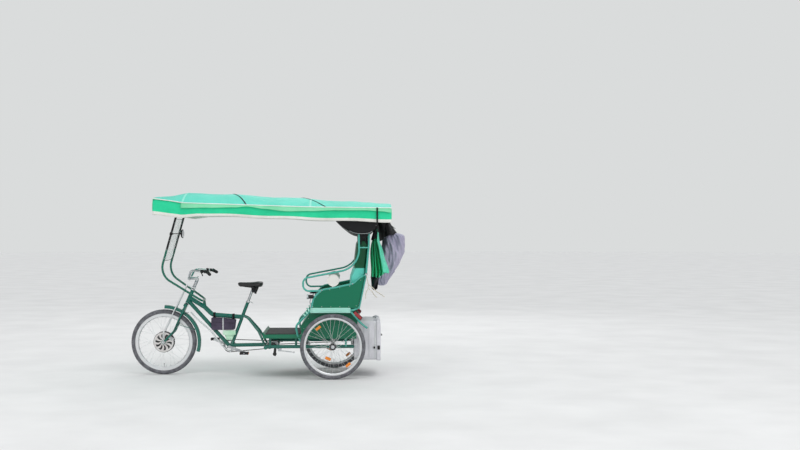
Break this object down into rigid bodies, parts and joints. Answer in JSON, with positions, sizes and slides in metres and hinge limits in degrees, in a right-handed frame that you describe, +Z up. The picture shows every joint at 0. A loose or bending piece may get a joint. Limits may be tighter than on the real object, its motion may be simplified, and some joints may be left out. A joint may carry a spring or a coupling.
{
  "type": "cycle rickshaw",
  "caption": "Pedal cycle rickshaw: bicycle front end with a hub motor, padded passenger bench over the rear wheels, and a long canopy above rider and passengers.",
  "frame": {"origin": "on the ground under the middle of the whole machine", "axes": "+X towards the rear, +Y towards the rider's right side, +Z up; the front points to -X"},
  "size_m": [2.821, 1.124, 1.8718],
  "materials": {
    "frame_paint": "dark teal gloss paint",
    "panel_paint": "green gloss paint",
    "black_steel": "black gloss paint",
    "bright_steel": "polished",
    "machined_steel": "machined",
    "motor_casting": "dark casting",
    "tyre": "matte",
    "black_rubber": "matte",
    "saddle_cover": "smooth",
    "seat_ply": "painted plywood",
    "cushion_cloth": "vinyl-coated",
    "canopy_cloth": "coated cloth",
    "valance_cloth": "coated cloth",
    "curtain_cloth": "coated cloth",
    "cover_cloth": "thin coated cloth",
    "black_cloth": "woven",
    "pouch_cloth": "woven",
    "clear_film": "clear film",
    "black_plastic": "moulded",
    "grey_plastic": "moulded",
    "white_plate": "plain",
    "red_plastic": "reflector"
  },
  "bodies": {
    "frame": {"main_frame": "frame_paint", "chassis": "frame_paint", "rear_axle": "frame_paint", "body_frame": "frame_paint", "side_panel_left": "panel_paint", "side_panel_right": "panel_paint", "seat_board": "seat_ply", "back_panel": "panel_paint", "seat_box": "frame_paint", "floor_pan": "panel_paint", "floor_mat": "black_rubber", "seat_cushion": "cushion_cloth", "back_cushion": "cushion_cloth", "mast_hoop": "black_steel", "roof_frame": "black_steel", "canopy_top": "canopy_cloth", "canopy_valance": "valance_cloth", "roof_bag": "black_cloth", "side_curtain": "curtain_cloth", "rain_cover": "cover_cloth", "cover_straps": "black_cloth", "windscreen": "clear_film", "mirror_left": "black_plastic", "rear_box": "grey_plastic", "battery_bag": "black_cloth", "frame_pouch": "pouch_cloth", "seatpost": "bright_steel", "saddle": "saddle_cover", "drive_chains": "machined_steel", "chain_tensioner": "black_steel", "parking_lever": "bright_steel", "side_discs": "white_plate", "front_lamps": "black_plastic", "tail_reflectors": "red_plastic"},
    "steering": {"fork": "frame_paint", "truss_rods": "bright_steel", "front_axle": "bright_steel", "front_mudguard": "frame_paint", "handlebar": "bright_steel", "grips": "black_rubber", "brake_caliper": "machined_steel"},
    "front_wheel": {"front_tyre": "tyre", "front_rim": "bright_steel", "front_spokes": "bright_steel", "hub_motor": "motor_casting", "brake_rotor": "machined_steel"},
    "rear_wheel_left": {"rear_left_tyre": "tyre", "rear_left_rim": "bright_steel", "rear_left_spokes": "bright_steel", "rear_left_hub": "motor_casting"},
    "rear_wheel_right": {"rear_right_tyre": "tyre", "rear_right_rim": "bright_steel", "rear_right_spokes": "bright_steel", "rear_right_hub": "motor_casting"},
    "crank": {"crankset": "machined_steel"},
    "left_pedal": {"pedal_left": "black_rubber"},
    "right_pedal": {"pedal_right": "black_rubber"},
    "jack": {"jack_shaft": "machined_steel"},
    "lid": {"box_lid": "grey_plastic"}
  },
  "joints": [
    {"name": "steering_turn", "type": "hinge", "parent": "frame", "child": "steering", "pos_m": [-0.772, 0, 0.88], "axis": [0.4004, 0, 0.9164], "range_deg": [-40, 40]},
    {"name": "front_wheel_spin", "type": "hinge", "parent": "steering", "child": "front_wheel", "pos_m": [-1.07, 0, 0.335], "axis": [0, 1, 0], "continuous": true},
    {"name": "rear_left_spin", "type": "hinge", "parent": "frame", "child": "rear_wheel_left", "pos_m": [0.671, -0.5, 0.327], "axis": [0, 1, 0], "continuous": true},
    {"name": "rear_right_spin", "type": "hinge", "parent": "frame", "child": "rear_wheel_right", "pos_m": [0.671, 0.5, 0.327], "axis": [0, 1, 0], "continuous": true},
    {"name": "crank_spin", "type": "hinge", "parent": "frame", "child": "crank", "pos_m": [-0.399, 0, 0.288], "axis": [0, 1, 0], "continuous": true},
    {"name": "pedal_left_spin", "type": "hinge", "parent": "crank", "child": "left_pedal", "pos_m": [-0.23886, -0.12, 0.22524], "axis": [0, 1, 0], "continuous": true},
    {"name": "pedal_right_spin", "type": "hinge", "parent": "crank", "child": "right_pedal", "pos_m": [-0.55914, 0.12, 0.35076], "axis": [0, 1, 0], "continuous": true},
    {"name": "jack_spin", "type": "hinge", "parent": "frame", "child": "jack", "pos_m": [0.07, 0.2, 0.3], "axis": [0, 1, 0], "continuous": true},
    {"name": "lid_swing", "type": "hinge", "parent": "frame", "child": "lid", "pos_m": [1.12, 0, 0.58], "axis": [0, -1, 0], "range_deg": [0, 95]}
  ],
  "couplings": [
    {"joint": "jack_spin", "follows": "crank_spin", "ratio": 1.8056}
  ]
}
